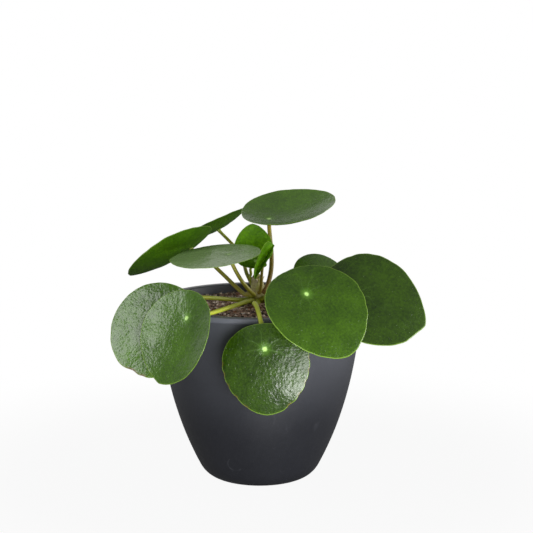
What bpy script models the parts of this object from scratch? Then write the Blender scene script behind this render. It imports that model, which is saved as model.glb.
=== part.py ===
"""A potted pilea: a round-leaved house plant in a plain slate-grey pot.

Run with blender --background --python part.py. The plant stands on the plane z = 0, and the
origin is the centre of the pot's foot. The front of the plant faces -Y. Lengths are written in
millimetres and turned into metres by MM.
"""

import math

import bmesh
import bpy
from mathutils import Matrix, Vector
from mathutils.geometry import interpolate_bezier

MM = 0.001
GAP = 0.3  # between pieces that touch
MERGE_DISTANCE = 0.00001  # metres

# The pot
RIM_RADIUS = 82.6
POT_HEIGHT = 145.0
WALL = 7.0
FLOOR = 7.0
LIP_HEIGHT = 3.8
LIP_PROUD = 0.9
LIP_EDGE = 1.0  # radius of the lip's outer edge
INNER_EDGE = 1.6  # radius of the rim's inner edge
INNER_LIP = 0.6  # how far the rim stands inside the wall's inner side
FOOT_RADIUS = 30.0
CORNER_TOP = (48.8, 11.3)  # radius and height where the rounded foot meets the wall
WALL_BELLY = (77.3, 66.0)  # the point that the wall's curve leans towards
FOOT_BELLY = (43.0, 0.2)  # the same for the rounded foot
FLOOR_CORNER = 6.0  # width of the slope between the inner wall and the floor
INNER_STEPS_FROM = 0.5  # above the floor, where the inner wall starts
INNER_STEPS_TO = 4.0  # below a given top, where it stops
POT_SIDES = 48

# The soil
SOIL_EDGE = 137.0  # height of the soil against the pot
SOIL_CROWN = 139.5  # height of the soil at the stem
SOIL_EDGE_INSET = 1.5  # how far the soil's top edge stays from the pot's wall
SOIL_SLACK = 0.3  # more room round the soil, for the flat sides of both
SOIL_LEVEL = 45.0  # the radius that the crown's curve leans towards
SOIL_SIDES = 36

# The stem, a short woody crown a little behind the pot's centre
STEM_PLACE = (-2.0, 14.0)
STEM_FOOT = SOIL_CROWN + GAP
STEM_OUTLINE = (
    (3.2, 22.5),
    (4.3, 20.0),
    (4.0, 16.0),
    (4.9, 13.0),
    (4.4, 9.0),
    (5.3, 6.0),
    (4.9, 3.0),
    (6.4, 0.0),
)  # radius and height above the soil, from the top down
STEM_PEAK = 1.8  # how far the point at the top stands over the outline
STEM_SIDES = 16

# The leaves
BLADE_THICKNESS = 0.9
BLADE_SEGMENTS = 24
BLADE_RINGS = 3
FACET_SAG = 0.4  # how far the flat-sided blade may lie under its true curve
TIP_WIDTH = 0.3  # radians from the tip over which its point fades
STALK_STEPS = 11
STALK_FROM_AXIS = 6.0  # from the stem's axis to the near side of each stalk's start
STALK_FOOT = 1.12  # the stalk's thickness where it starts, as a part of the stated one
STALK_TAPER = 0.2  # how much of that part is lost on the way to the blade

# One row for each leaf. stalk_point: where the stalk meets the blade. facing: the compass angle
# and the rise of the blade's upper side there, in degrees. turn: how far the tip is turned from
# straight downhill. radius: of the round blade. offset: from the stalk's point to the middle of
# the blade, as a part of the radius. droop: how much the blade bends down along its length and
# across it, with a bowl negative. width: of the blade against its length. three: how much the
# blade is drawn out into three soft corners. tip: how far the tip stands out. thick: the stalk's
# diameter. start: where the stalk leaves the stem, as a compass angle and a height. leave and
# arrive: the points that the stalk leans towards on its way.
LEAVES = {
    "top": dict(
        stalk_point=(7.8, 33.0, 205.9), facing=(-81, 77), turn=90, radius=37.7, offset=0.39,
        droop=(-0.24, -0.25), width=1.0, three=0.02, tip=0.01, thick=3.2,
        start=(-35, 150), leave=(15, 34, 166), arrive=(7, 44, 190),
    ),
    "middle": dict(
        stalk_point=(-24.3, -16.0, 184.1), facing=(-136, 82), turn=-47, radius=35.4, offset=0.30,
        droop=(0.01, 0.01), width=1.0, three=-0.02, tip=0.07, thick=2.9,
        start=(-125, 147), leave=(1, 0, 147), arrive=(-14, -15, 154),
    ),
    "back_left": dict(
        stalk_point=(-57.2, 36.0, 181.3), facing=(156, 49), turn=44, radius=38.6, offset=0.42,
        droop=(-0.16, -0.22), width=0.98, three=-0.02, tip=0.0, thick=2.9,
        start=(172, 147), leave=(-8, 22, 135), arrive=(-41, 32, 176),
    ),
    "far": dict(
        stalk_point=(-35.3, 76.0, 191.6), facing=(154, 61), turn=147, radius=25.9, offset=0.36,
        droop=(-0.08, -0.19), width=1.0, three=0.0, tip=0.03, thick=2.6,
        start=(130, 155), leave=(-19, 38, 172), arrive=(-3, 71, 161),
    ),
    "left": dict(
        stalk_point=(-73.8, -62.0, 146.0), facing=(-112, 28), turn=-17, radius=37.5, offset=0.37,
        droop=(0.03, 0.04), width=1.02, three=0.01, tip=0.0, thick=3.0,
        start=(-155, 143), leave=(-24, -13, 144), arrive=(-62, -39, 163),
    ),
    "front_left": dict(
        stalk_point=(-54.3, -95.0, 148.5), facing=(-137, 26), turn=-9, radius=35.3, offset=0.42,
        droop=(0.08, -0.05), width=1.07, three=0.0, tip=0.07, thick=3.2,
        start=(-120, 142), leave=(-5, -26, 151), arrive=(-24, -77, 151),
    ),
    "front": dict(
        stalk_point=(3.9, -101.0, 126.7), facing=(-100, 20), turn=3, radius=32.8, offset=0.39,
        droop=(0.25, 0.18), width=1.0, three=0.03, tip=0.02, thick=3.3,
        start=(-90, 142), leave=(-7, -42, 142), arrive=(-3, -78, 174),
    ),
    "front_right": dict(
        stalk_point=(34.7, -92.0, 166.0), facing=(-67, 46), turn=23, radius=39.0, offset=0.35,
        droop=(0.12, -0.05), width=1.07, three=0.01, tip=0.05, thick=3.2,
        start=(-55, 144), leave=(13, -25, 157), arrive=(27, -75, 153),
    ),
    "right": dict(
        stalk_point=(69.5, -58.0, 159.5), facing=(-87, 48), turn=73, radius=41.8, offset=0.36,
        droop=(0.19, -0.05), width=1.02, three=0.01, tip=0.05, thick=3.1,
        start=(-18, 144), leave=(26, -11, 155), arrive=(69, -42, 148),
    ),
    "rear_right": dict(
        stalk_point=(43.0, 26.0, 160.0), facing=(-79, 49), turn=119, radius=21.5, offset=0.35,
        droop=(0.10, 0.05), width=0.98, three=-0.01, tip=0.03, thick=2.2,
        start=(25, 145), leave=(17, 20, 155), arrive=(42, 33, 153),
    ),
    "young": dict(
        stalk_point=(-3.1, 16.0, 174.0), facing=(-82, 54), turn=-178, radius=18.5, offset=0.42,
        droop=(-0.38, 0.02), width=0.93, three=0.0, tip=0.05, thick=2.0,
        start=(160, 160), leave=(-4, 16, 166), arrive=(-12, 23, 163),
    ),
    "folded": dict(
        stalk_point=(6.0, -2.0, 180.0), facing=(-40, -5), turn=-42, radius=16.0, offset=0.30,
        droop=(-0.05, -0.30), width=0.80, three=0.0, tip=0.06, thick=2.1,
        start=(-70, 150), leave=(2, 5, 160), arrive=(1, 1, 171),
    ),
}

# The stipules, small papery scales that stand round the top of the stem. Each place is a compass
# angle and a height.
STIPULES = ((-100, 156.0), (-10, 157.0), (60, 156.5))
STIPULE_FROM_AXIS = 5.6
STIPULE_LEAN = 14  # degrees out from upright
STIPULE_SHAPE = dict(
    turn=180, radius=2.8, offset=1.0, droop=(0.08, 0.5), width=0.62, three=0.0, tip=0.3,
)
STIPULE_THICKNESS = 0.4
STIPULE_SEGMENTS = 12
STIPULE_RINGS = 2


def clear_scene():
    for thing in list(bpy.data.objects):
        bpy.data.objects.remove(thing, do_unlink=True)


def new_collection(name):
    group = bpy.data.collections.new(name)
    bpy.context.scene.collection.children.link(group)
    return group


def new_material(name, colour, roughness, metallic=0.0):
    finish = bpy.data.materials.new(name)
    finish.use_nodes = True
    shader = finish.node_tree.nodes["Principled BSDF"]
    shader.inputs["Base Color"].default_value = (*colour, 1.0)
    shader.inputs["Roughness"].default_value = roughness
    shader.inputs["Metallic"].default_value = metallic
    finish.diffuse_color = (*colour, 1.0)
    return finish


def add_object(name, data, group, finish):
    thing = bpy.data.objects.new(name, data)
    thing.data.materials.append(finish)
    group.objects.link(thing)
    return thing


def bend(start, lean, end, steps):
    """Points along a curve that starts at start, leans towards lean and stops at end."""
    points = []
    for step in range(steps + 1):
        t = step / steps
        points.append(
            tuple(
                (1 - t) ** 2 * a + 2 * t * (1 - t) * b + t**2 * c
                for a, b, c in zip(start, lean, end)
            )
        )
    return points


def arc(centre, radius, first, last, steps):
    """Points on a round edge, as radius and height, between two angles in degrees."""
    points = []
    for step in range(steps + 1):
        angle = math.radians(first + (last - first) * step / steps)
        points.append(
            (centre[0] + radius * math.cos(angle), centre[1] + radius * math.sin(angle))
        )
    return points


def turned(name, outline, sides, group, finish):
    """A round body: an outline that runs down its outer side, swept about the Z axis."""
    mesh = bpy.data.meshes.new(name)
    points = [(radius * MM, 0.0, height * MM) for radius, height in outline]
    edges = [(i, i + 1) for i in range(len(points) - 1)]
    mesh.from_pydata(points, edges, [])
    thing = add_object(name, mesh, group, finish)
    sweep = thing.modifiers.new("sweep", "SCREW")
    sweep.axis = "Z"
    sweep.steps = sides
    sweep.render_steps = sides
    sweep.use_merge_vertices = True
    sweep.merge_threshold = MERGE_DISTANCE
    sweep.use_smooth_shade = True
    return thing


def wall_outline():
    """The pot's outer side from under the lip down to the flat of its foot."""
    under_lip = (RIM_RADIUS - LIP_PROUD, POT_HEIGHT - LIP_HEIGHT - LIP_PROUD)
    wall = bend(under_lip, WALL_BELLY, CORNER_TOP, 9)
    foot = bend(CORNER_TOP, FOOT_BELLY, (FOOT_RADIUS, 0.0), 4)
    return wall + foot[1:]


def inner_outline(inset, top):
    """A line that keeps the distance inset from the pot's outer side, from a height down."""
    outer = wall_outline()
    line = []
    for i in range(len(outer)):
        before = outer[max(i - 1, 0)]
        after = outer[min(i + 1, len(outer) - 1)]
        run = Vector((after[0] - before[0], after[1] - before[1])).normalized()
        radius = outer[i][0] + run.y * inset
        height = outer[i][1] - run.x * inset
        if FLOOR + INNER_STEPS_FROM < height < top - INNER_STEPS_TO:
            line.append((radius, height))
    return line


def make_pot(group, finish):
    inside = inner_outline(WALL, POT_HEIGHT - LIP_HEIGHT)
    inner_middle = RIM_RADIUS - WALL - INNER_LIP + INNER_EDGE
    outer_middle = RIM_RADIUS - LIP_EDGE
    inner_edge = arc((inner_middle, POT_HEIGHT - INNER_EDGE), INNER_EDGE, 180, 90, 3)
    outer_edge = arc((outer_middle, POT_HEIGHT - LIP_EDGE), LIP_EDGE, 90, 0, 3)
    lip_foot = [(RIM_RADIUS, POT_HEIGHT - LIP_HEIGHT)]
    outline = [(0.0, FLOOR), (inside[-1][0] - FLOOR_CORNER, FLOOR)]
    outline += inside[::-1]
    outline += inner_edge
    outline += outer_edge
    outline += lip_foot
    outline += wall_outline()
    outline.append((0.0, 0.0))
    return turned("pot", outline, POT_SIDES, group, finish)


def make_soil(group, finish):
    inside = inner_outline(WALL + GAP + SOIL_SLACK, SOIL_EDGE)
    edge = (RIM_RADIUS - WALL - SOIL_EDGE_INSET, SOIL_EDGE)
    outline = bend((0.0, SOIL_CROWN), (SOIL_LEVEL, SOIL_CROWN), edge, 4)
    outline += inside
    outline += [(inside[-1][0] - FLOOR_CORNER, FLOOR + GAP), (0.0, FLOOR + GAP)]
    return turned("soil", outline, SOIL_SIDES, group, finish)


def make_stem(group, finish):
    outline = [(0.0, STEM_OUTLINE[0][1] + STEM_PEAK)]
    outline += STEM_OUTLINE
    outline.append((0.0, 0.0))
    stem = turned("stem", outline, STEM_SIDES, group, finish)
    stem.location = Vector((*STEM_PLACE, STEM_FOOT)) * MM
    return stem


def leaf_frame(row):
    """A matrix that puts a blade in its place: +Z out of its upper side, +Y towards its tip."""
    compass, rise = (math.radians(angle) for angle in row["facing"])
    turn = math.radians(row["turn"])
    outward = Vector((math.cos(compass), math.sin(compass), 0.0))
    upward = Vector((0.0, 0.0, 1.0))
    up = outward * math.cos(rise) + upward * math.sin(rise)
    downhill = outward * math.sin(rise) - upward * math.cos(rise)
    tip = downhill * math.cos(turn) + up.cross(downhill) * math.sin(turn)
    side = tip.cross(up)
    frame = Matrix((side, tip, up)).transposed().to_4x4()
    frame.translation = Vector(row["stalk_point"]) * MM
    return frame


def blade_point(row, reach, angle):
    """A point of a blade, from its part of the radius and its angle from the tip."""
    near_tip = math.exp(-((angle / TIP_WIDTH) ** 2))
    radius = reach * (1.0 + row["three"] * math.cos(3 * angle) + row["tip"] * near_tip)
    across = radius * row["width"] * math.sin(angle)
    along = radius * math.cos(angle) + row["offset"]
    along_droop, across_droop = row["droop"]
    height = -(along_droop * along**2 + across_droop * across**2)
    return Vector((across, along, height)) * row["radius"] * MM


def make_blade(name, row, segments, rings, thickness, group, finish):
    """A flat disc spun from one spoke, then drawn to the leaf's outline and droop."""
    bm = bmesh.new()
    spoke = [bm.verts.new((0.0, ring / rings, 0.0)) for ring in range(rings + 1)]
    edges = [bm.edges.new((spoke[i], spoke[i + 1])) for i in range(rings)]
    bmesh.ops.spin(
        bm, geom=spoke + edges, cent=(0, 0, 0), axis=(0, 0, 1), angle=2 * math.pi,
        steps=segments,
    )
    bmesh.ops.remove_doubles(bm, verts=bm.verts, dist=MERGE_DISTANCE)
    for vert in bm.verts:
        reach = vert.co.xy.length
        angle = math.atan2(vert.co.x, vert.co.y)
        vert.co = blade_point(row, reach, angle)
    bmesh.ops.recalc_face_normals(bm, faces=bm.faces)
    if next(iter(bm.faces)).normal.z < 0:
        bmesh.ops.reverse_faces(bm, faces=bm.faces)
    mesh = bpy.data.meshes.new(name)
    bm.to_mesh(mesh)
    bm.free()
    mesh.shade_smooth()
    blade = add_object(name, mesh, group, finish)
    blade.matrix_world = leaf_frame(row)
    skin = blade.modifiers.new("thickness", "SOLIDIFY")
    skin.thickness = thickness * MM
    skin.offset = 0.0
    skin.use_even_offset = True
    return blade


def stalk_route(row):
    """The stalk's centre line, from the stem to just under the blade."""
    compass, height = row["start"]
    away = Vector((math.cos(math.radians(compass)), math.sin(math.radians(compass)), 0.0))
    from_axis = STALK_FROM_AXIS + row["thick"] / 2
    start = Vector((*STEM_PLACE, height)) + away * from_axis
    arrive = Vector(row["arrive"])
    point = Vector(row["stalk_point"])
    run = (point - arrive).normalized()
    up = leaf_frame(row).to_3x3() @ Vector((0, 0, 1))
    slant = math.sqrt(max(0.0, 1.0 - run.dot(up) ** 2))
    clearance = BLADE_THICKNESS / 2 + GAP + FACET_SAG + slant * row["thick"] / 2
    end = point - up * clearance
    return interpolate_bezier(start, Vector(row["leave"]), arrive, end, STALK_STEPS)


def make_stalk(name, row, group, finish):
    curve = bpy.data.curves.new(name, "CURVE")
    curve.dimensions = "3D"
    curve.bevel_depth = row["thick"] / 2 * MM
    curve.bevel_resolution = 2
    curve.use_fill_caps = True
    route = stalk_route(row)
    spline = curve.splines.new("POLY")
    spline.points.add(len(route) - 1)
    for i, (point, place) in enumerate(zip(spline.points, route)):
        point.co = (*(place * MM), 1.0)
        point.radius = STALK_FOOT - STALK_TAPER * i / (len(route) - 1)
    return add_object(name, curve, group, finish)


def stipule_row(compass, height):
    """A stipule as a small narrow blade that stands on its base and leans out from the stem."""
    away = Vector((math.cos(math.radians(compass)), math.sin(math.radians(compass)), 0.0))
    foot = Vector((*STEM_PLACE, height)) + away * STIPULE_FROM_AXIS
    return dict(STIPULE_SHAPE, stalk_point=tuple(foot), facing=(compass, -STIPULE_LEAN))


def main():
    clear_scene()
    plant = new_collection("potted_pilea")
    slate = new_material("pot_slate", (0.036, 0.037, 0.043), 0.55)
    earth = new_material("potting_mix", (0.06, 0.035, 0.022), 0.95)
    bark = new_material("stem_bark", (0.12, 0.07, 0.03), 0.8)
    leaf = new_material("leaf_green", (0.045, 0.14, 0.02), 0.38)
    fresh = new_material("young_leaf_green", (0.08, 0.25, 0.01), 0.4)
    green = new_material("stalk_green", (0.2, 0.24, 0.03), 0.5)
    papery = new_material("stipule_brown", (0.35, 0.26, 0.13), 0.8)

    make_pot(plant, slate)
    make_soil(plant, earth)
    make_stem(plant, bark)
    for name, row in LEAVES.items():
        young = name in ("young", "folded")
        make_blade(
            "leaf_" + name, row, BLADE_SEGMENTS, BLADE_RINGS, BLADE_THICKNESS, plant,
            fresh if young else leaf,
        )
        make_stalk("stalk_" + name, row, plant, green)
    for number, (compass, height) in enumerate(STIPULES, start=1):
        make_blade(
            f"stipule_{number}", stipule_row(compass, height), STIPULE_SEGMENTS,
            STIPULE_RINGS, STIPULE_THICKNESS, plant, papery,
        )


main()
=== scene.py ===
import math
import random

import bmesh
import bpy
import numpy as np
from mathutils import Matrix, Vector, geometry, noise


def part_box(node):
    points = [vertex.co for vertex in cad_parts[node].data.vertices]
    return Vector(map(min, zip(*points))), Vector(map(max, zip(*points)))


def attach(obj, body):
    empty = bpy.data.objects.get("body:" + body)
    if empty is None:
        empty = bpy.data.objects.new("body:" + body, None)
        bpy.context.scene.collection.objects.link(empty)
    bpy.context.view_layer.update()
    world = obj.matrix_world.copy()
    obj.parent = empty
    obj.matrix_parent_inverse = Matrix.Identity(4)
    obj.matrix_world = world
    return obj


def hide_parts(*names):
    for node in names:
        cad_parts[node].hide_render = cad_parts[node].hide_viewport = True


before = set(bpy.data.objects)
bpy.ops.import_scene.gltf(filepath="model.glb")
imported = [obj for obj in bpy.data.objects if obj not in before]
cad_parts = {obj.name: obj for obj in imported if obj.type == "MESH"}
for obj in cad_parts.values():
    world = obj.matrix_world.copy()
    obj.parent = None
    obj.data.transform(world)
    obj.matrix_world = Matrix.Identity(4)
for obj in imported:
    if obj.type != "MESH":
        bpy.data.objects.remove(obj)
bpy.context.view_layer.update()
mm = 0.001
mergeDistance = 0.00001  # points nearer than this are one point
print("frame loaded:", len(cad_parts), "nodes")

leafNames = [name.removeprefix("leaf_") for name in sorted(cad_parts) if name.startswith("leaf_")]
potLow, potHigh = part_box("pot")
soilLow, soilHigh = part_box("soil")
stemLow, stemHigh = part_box("stem")
stemAxis = (stemLow + stemHigh) / 2


# node helpers, for shader and geometry trees alike

def link(tree, socket, value):
    if isinstance(value, bpy.types.NodeSocket):
        tree.links.new(value, socket)
    else:
        socket.default_value = value


def add(tree, kind, inputs=None, **settings):
    made = tree.nodes.new(kind)
    for key, value in settings.items():
        setattr(made, key, value)
    for key, value in (inputs or {}).items():
        link(tree, made.inputs[key], value)
    return made


def calc(tree, operation, *values, clamp=False):
    made = add(tree, "ShaderNodeMath", operation=operation, use_clamp=clamp)
    for socket, value in zip(made.inputs, values):
        link(tree, socket, value)
    return made.outputs[0]


def plus(tree, first, second):
    return calc(tree, "ADD", first, second)


def minus(tree, first, second):
    return calc(tree, "SUBTRACT", first, second)


def times(tree, first, second):
    return calc(tree, "MULTIPLY", first, second)


def vectorCalc(tree, operation, *values):
    made = add(tree, "ShaderNodeVectorMath", operation=operation)
    for socket, value in zip(made.inputs, values):
        link(tree, socket, value)
    return made.outputs["Value" if operation == "LENGTH" else "Vector"]


def split(tree, vector):
    return add(tree, "ShaderNodeSeparateXYZ", {0: vector}).outputs


def joined(tree, x=0.0, y=0.0, z=0.0):
    return add(tree, "ShaderNodeCombineXYZ", {0: x, 1: y, 2: z}).outputs[0]


def scaled(tree, vector, amount):
    made = add(tree, "ShaderNodeVectorMath", {0: vector, "Scale": amount}, operation="SCALE")
    return made.outputs[0]


def ramp(tree, value, low, high, start=0.0, end=1.0):
    # goes from start to end while the value goes from low to high, with a soft step
    made = add(
        tree, "ShaderNodeMapRange", {0: value, 1: low, 2: high, 3: start, 4: end},
        interpolation_type="SMOOTHSTEP",
    )
    return made.outputs[0]


def cloud(tree, vector, scale, detail=2.0, roughness=0.5, distortion=0.0):
    return add(
        tree, "ShaderNodeTexNoise",
        {"Vector": vector, "Scale": scale, "Detail": detail, "Roughness": roughness, "Distortion": distortion},
    ).outputs[0]


def softCells(tree, vector, size, smoothness):
    # distance from the middles of rounded cells of about the given size
    scale = calc(tree, "DIVIDE", 1.0, size)
    made = add(
        tree, "ShaderNodeTexVoronoi", {"Vector": vector, "Scale": scale, "Smoothness": smoothness},
        feature="SMOOTH_F1",
    )
    return made.outputs["Distance"]


def blendColours(tree, share, first, second):
    made = add(tree, "ShaderNodeMix", data_type="RGBA")
    link(tree, made.inputs[0], share)
    for socket, value in ((made.inputs[6], first), (made.inputs[7], second)):
        link(tree, socket, value if isinstance(value, bpy.types.NodeSocket) else (*value, 1.0))
    return made.outputs[2]


def newGroup(name, kind, inputs, outputs):
    group = bpy.data.node_groups.new(name, kind)
    for label, socketKind, value in inputs:
        socket = group.interface.new_socket(label, in_out="INPUT", socket_type="NodeSocket" + socketKind)
        if value is not None:
            socket.default_value = value
    for label, socketKind in outputs:
        group.interface.new_socket(label, in_out="OUTPUT", socket_type="NodeSocket" + socketKind)
    return group, group.nodes.new("NodeGroupInput").outputs, group.nodes.new("NodeGroupOutput").inputs


def newShapeTree(name, inputs):
    # a geometry tree whose result is realized and given its finish, and another finish on a chosen part
    finishes = [("Finish", "Material", None), ("Second Finish", "Material", None)]
    tree, start, end = newGroup(
        name, "GeometryNodeTree", [("Geometry", "Geometry", None), *inputs, *finishes], [("Geometry", "Geometry")]
    )
    tree.is_modifier = True

    def close(shape, secondPart=None):
        real = add(tree, "GeometryNodeRealizeInstances", {0: shape}).outputs[0]
        soft = add(tree, "GeometryNodeSetShadeSmooth", {0: real, "Shade Smooth": True}).outputs[0]
        painted = add(tree, "GeometryNodeSetMaterial", {0: soft, "Material": start["Finish"]}).outputs[0]
        if secondPart:
            painted = add(
                tree, "GeometryNodeSetMaterial",
                {0: painted, "Selection": secondPart, "Material": start["Second Finish"]},
            ).outputs[0]
        tree.links.new(painted, end["Geometry"])

    return tree, start, close


def grow(piece, tree, values):
    # runs a tree on a piece and keeps the result as a plain mesh
    modifier = piece.modifiers.new(tree.name, "NODES")
    modifier.node_group = tree
    sockets = {item.name: item.identifier for item in tree.interface.items_tree if item.in_out == "INPUT"}
    for label, value in values.items():
        modifier[sockets[label]] = value
    graph = bpy.context.evaluated_depsgraph_get()
    mesh = bpy.data.meshes.new_from_object(
        piece.evaluated_get(graph), preserve_all_data_layers=True, depsgraph=graph
    )
    mesh.name = piece.name
    if piece.type == "MESH":
        piece.modifiers.clear()
        piece.data = mesh
        return piece
    name = piece.name
    bpy.data.objects.remove(piece)
    return newPiece(name, mesh)


def newPiece(name, data, finish=None):
    piece = bpy.data.objects.new(name, data)
    if finish:
        piece.data.materials.append(finish)
    bpy.context.scene.collection.objects.link(piece)
    return piece


def meshFrom(name, bm):
    bmesh.ops.recalc_face_normals(bm, faces=bm.faces)
    mesh = bpy.data.meshes.new(name)
    bm.to_mesh(mesh)
    bm.free()
    mesh.shade_smooth()
    return mesh


def settle(piece, slotName, *nodes):
    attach(piece, "root")
    if nodes:
        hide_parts(*nodes)


def storeFloats(mesh, name, values):
    mesh.attributes.new(name, "FLOAT", "POINT").data.foreach_set("value", np.asarray(values, np.float32))


def storeVectors(mesh, name, values):
    flat = np.asarray(values, np.float32).ravel()
    mesh.attributes.new(name, "FLOAT_VECTOR", "POINT").data.foreach_set("vector", flat)


def newFinish(name, **constants):
    finish = bpy.data.materials.new(name)
    finish.use_nodes = True
    shader = finish.node_tree.nodes["Principled BSDF"]
    for label, value in constants.items():
        shader.inputs[label.replace("_", " ")].default_value = value
    return finish, finish.node_tree, shader


def readAttribute(tree, name, output="Fac"):
    # a value kept on a mesh, for a finish
    return add(tree, "ShaderNodeAttribute", attribute_name=name).outputs[output]


def stored(tree, name, kind="FLOAT"):
    # the same for a geometry tree
    return add(tree, "GeometryNodeInputNamedAttribute", {"Name": name}, data_type=kind).outputs[0]


def place(tree):
    return add(tree, "ShaderNodeTexCoord").outputs["Object"]


def paint(tree, shader, colour):
    tree.links.new(colour, shader.inputs["Base Color"])


def polish(tree, shader, pattern, low, high):
    # roughness from low to high, as a pattern goes from 0 to 1
    tree.links.new(ramp(tree, pattern, 0.0, 1.0, low, high), shader.inputs["Roughness"])


def bump(tree, shader, height, distance, strength=1.0):
    made = add(tree, "ShaderNodeBump", {"Height": height, "Distance": distance, "Strength": strength})
    tree.links.new(made.outputs[0], shader.inputs["Normal"])


# shared surface effects

def makeMottle():
    # soft patches of two sizes, about 0.5 on average
    group, start, end = newGroup(
        "mottle", "ShaderNodeTree",
        [("Vector", "Vector", None), ("Patch Scale", "Float", 40.0), ("Grain Scale", "Float", 400.0),
         ("Grain Share", "Float", 0.4), ("Contrast", "Float", 1.0)],
        [("Value", "Float")],
    )
    patches = cloud(group, start["Vector"], start["Patch Scale"], 3.0, 0.55)
    grain = cloud(group, start["Vector"], start["Grain Scale"], 2.0, 0.6)
    both = add(group, "ShaderNodeMix", {0: start["Grain Share"], 2: patches, 3: grain}).outputs[0]
    centred = minus(group, both, 0.5)
    stretched = calc(group, "MULTIPLY_ADD", centred, start["Contrast"], 0.5, clamp=True)
    group.links.new(stretched, end["Value"])
    return group


def makeFlecks():
    # small round specks, each of its own size, most cells empty
    group, start, end = newGroup(
        "flecks", "ShaderNodeTree",
        [("Vector", "Vector", None), ("Scale", "Float", 150.0), ("Size", "Float", 0.2), ("Share", "Float", 0.3)],
        [("Mask", "Float")],
    )
    cells = add(group, "ShaderNodeTexVoronoi", {"Vector": start["Vector"], "Scale": start["Scale"]})
    parts = add(group, "ShaderNodeSeparateColor", {0: cells.outputs["Color"]}).outputs
    chosen = calc(group, "LESS_THAN", parts[0], start["Share"])
    size = times(group, start["Size"], parts[1])
    edge = times(group, size, 0.5)
    fall = minus(group, size, cells.outputs["Distance"])
    disc = calc(group, "DIVIDE", fall, calc(group, "MAXIMUM", edge, 0.001), clamp=True)
    group.links.new(times(group, disc, chosen), end["Mask"])
    return group


mottle = makeMottle()
flecks = makeFlecks()


def mottled(tree, vector, patchScale, grainScale, grainShare=0.4, contrast=1.5):
    return add(
        tree, "ShaderNodeGroup",
        {"Vector": vector, "Patch Scale": patchScale, "Grain Scale": grainScale,
         "Grain Share": grainShare, "Contrast": contrast},
        node_tree=mottle,
    ).outputs[0]


def flecked(tree, vector, scale, size, share):
    return add(
        tree, "ShaderNodeGroup", {"Vector": vector, "Scale": scale, "Size": size, "Share": share},
        node_tree=flecks,
    ).outputs[0]


# camera and studio

cameraSettings = dict(position=(0.0, -1.2, 0.36685), pitch=80.763, lens=102.48, sensor=36.0, shift=0.01285)
studioSettings = dict(
    floorSize=8.0,
    floorColour=(0.26, 0.26, 0.26),
    floorGrain=1.02,  # how much paler its grain is
    shadowShare=0.07,  # how much of the real floor the camera sees under the plain white
    shadowReach=(0.16, 0.42),  # distances over which the floor fades to plain white
    roomLight=0.26,
    lights=(
        # name, place, aim, width, height, power
        ("leftBox", (-1.08, -0.45, 0.73), (-0.05, -0.07, 0.15), 0.50, 0.62, 6.2),
        ("frontBox", (0.23, -0.85, 0.16), (0.0, -0.05, 0.12), 0.56, 0.32, 4.3),
        ("lowBox", (0.09, -0.38, 0.035), (0.0, -0.09, 0.10), 0.24, 0.06, 0.8),
        ("rightBox", (1.15, 0.10, 0.26), (0.0, 0.0, 0.08), 0.6, 0.5, 6.8),
        ("backBox", (-0.55, 1.6, 0.72), (0.0, 0.0, 0.18), 3.0, 1.0, 5.2),
    ),
)


def makeCamera(settings):
    data = bpy.data.cameras.new("camera")
    data.lens = settings["lens"]
    data.sensor_width = settings["sensor"]
    data.shift_x = settings["shift"]
    camera = bpy.data.objects.new("camera", data)
    camera.location = settings["position"]
    camera.rotation_euler = (math.radians(settings["pitch"]), 0.0, 0.0)
    bpy.context.scene.collection.objects.link(camera)
    bpy.context.scene.camera = camera


def makeStudio(settings):
    scene = bpy.context.scene
    scene.view_settings.view_transform = "Standard"
    world = bpy.data.worlds.new("studio")
    scene.world = world
    world.use_nodes = True
    tree = world.node_tree
    background = tree.nodes["Background"]
    background.inputs["Color"].default_value = (1.0, 1.0, 1.0, 1.0)
    seen = add(tree, "ShaderNodeLightPath").outputs["Is Camera Ray"]
    strength = add(tree, "ShaderNodeMix", {0: seen, 2: settings["roomLight"], 3: 1.0}).outputs[0]
    tree.links.new(strength, background.inputs["Strength"])

    finish, tree, shader = newFinish("floorPaint", Roughness=0.9)
    pale = settings["floorColour"]
    paler = tuple(value * settings["floorGrain"] for value in pale)
    paint(tree, shader, blendColours(tree, mottled(tree, place(tree), 6.0, 90.0), pale, paler))
    white = add(tree, "ShaderNodeEmission", {"Color": (1.0, 1.0, 1.0, 1.0)}).outputs[0]
    seen = add(tree, "ShaderNodeLightPath").outputs["Is Camera Ray"]
    away = vectorCalc(tree, "LENGTH", place(tree))
    kept = ramp(tree, away, *settings["shadowReach"], settings["shadowShare"], 0.0)
    share = times(tree, seen, minus(tree, 1.0, kept))
    both = add(tree, "ShaderNodeMixShader", {0: share, 1: shader.outputs[0], 2: white}).outputs[0]
    tree.links.new(both, tree.nodes["Material Output"].inputs["Surface"])
    bm = bmesh.new()
    bmesh.ops.create_grid(bm, x_segments=8, y_segments=8, size=settings["floorSize"] / 2)
    floor = newPiece("floor", meshFrom("floor", bm), finish)

    for name, position, aim, width, height, power in settings["lights"]:
        data = bpy.data.lights.new(name, "AREA")
        data.shape = "RECTANGLE"
        data.size = width
        data.size_y = height
        data.energy = power
        lamp = bpy.data.objects.new(name, data)
        lamp.location = position
        lamp.visible_camera = False
        lamp.rotation_euler = (Vector(aim) - Vector(position)).to_track_quat("-Z", "Y").to_euler()
        scene.collection.objects.link(lamp)


makeCamera(cameraSettings)
makeStudio(studioSettings)
print("camera and studio ready")


# reading the stalks and blades from the frame

readingSettings = dict(
    sameWay=0.99995,  # faces whose normals agree this well lie in one flat
    capPoints=6,  # the least points round a stalk's end
    capReach=2.5 * mm,  # the most its end reaches from its middle
    outlineSteps=720,
)


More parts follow.
